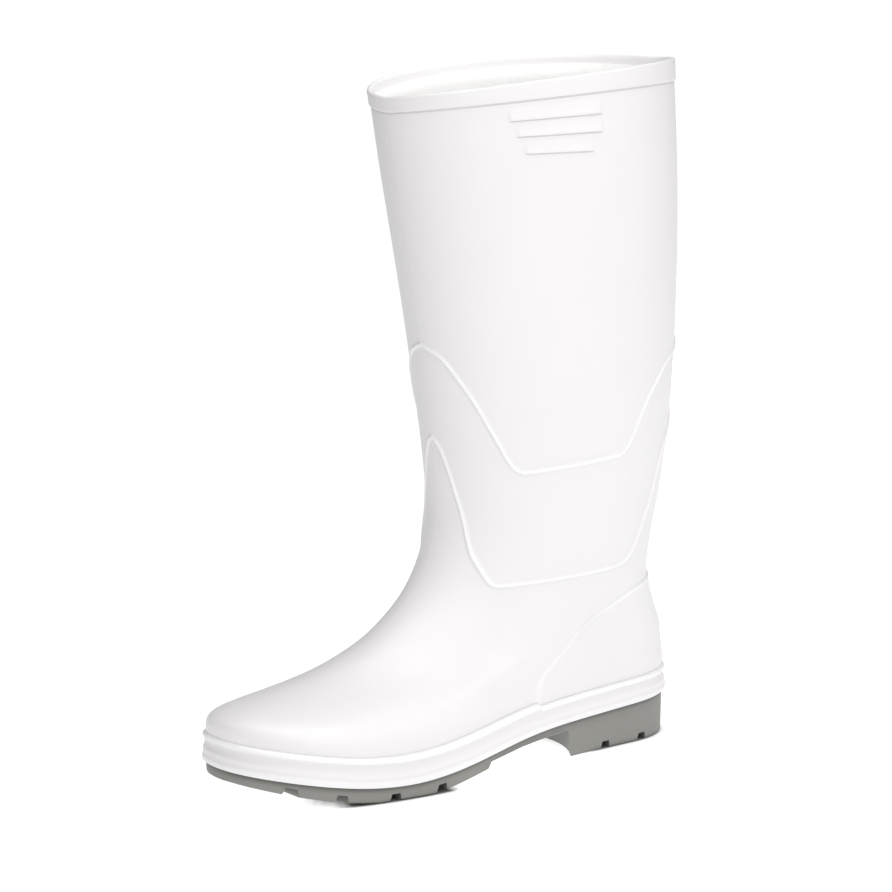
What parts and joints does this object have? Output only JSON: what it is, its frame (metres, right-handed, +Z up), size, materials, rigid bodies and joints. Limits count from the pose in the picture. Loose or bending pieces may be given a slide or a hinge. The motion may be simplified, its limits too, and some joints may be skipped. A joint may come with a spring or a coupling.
{
  "type": "pvc wellington boot",
  "caption": "Tall white PVC wellington boot with a moulded foot, raised beads round the ankle, a collar band, white foxing and a grey lugged outsole with a heel.",
  "frame": {"origin": "on the floor under the centre of the boot's box", "axes": "+Z up the shaft, -Y towards the toe, +X towards the outer side of the left foot"},
  "size_m": [0.1268, 0.29, 0.3712],
  "materials": {
    "white_pvc": "smooth satin moulded PVC",
    "foxing_pvc": "smooth satin moulded PVC",
    "grey_pvc": "matte moulded tread",
    "insole_foam": "fabric faced foam"
  },
  "bodies": {
    "root": {"upper": "white_pvc", "midsole": "foxing_pvc", "outsole": "grey_pvc", "insole": "insole_foam"}
  },
  "joints": []
}
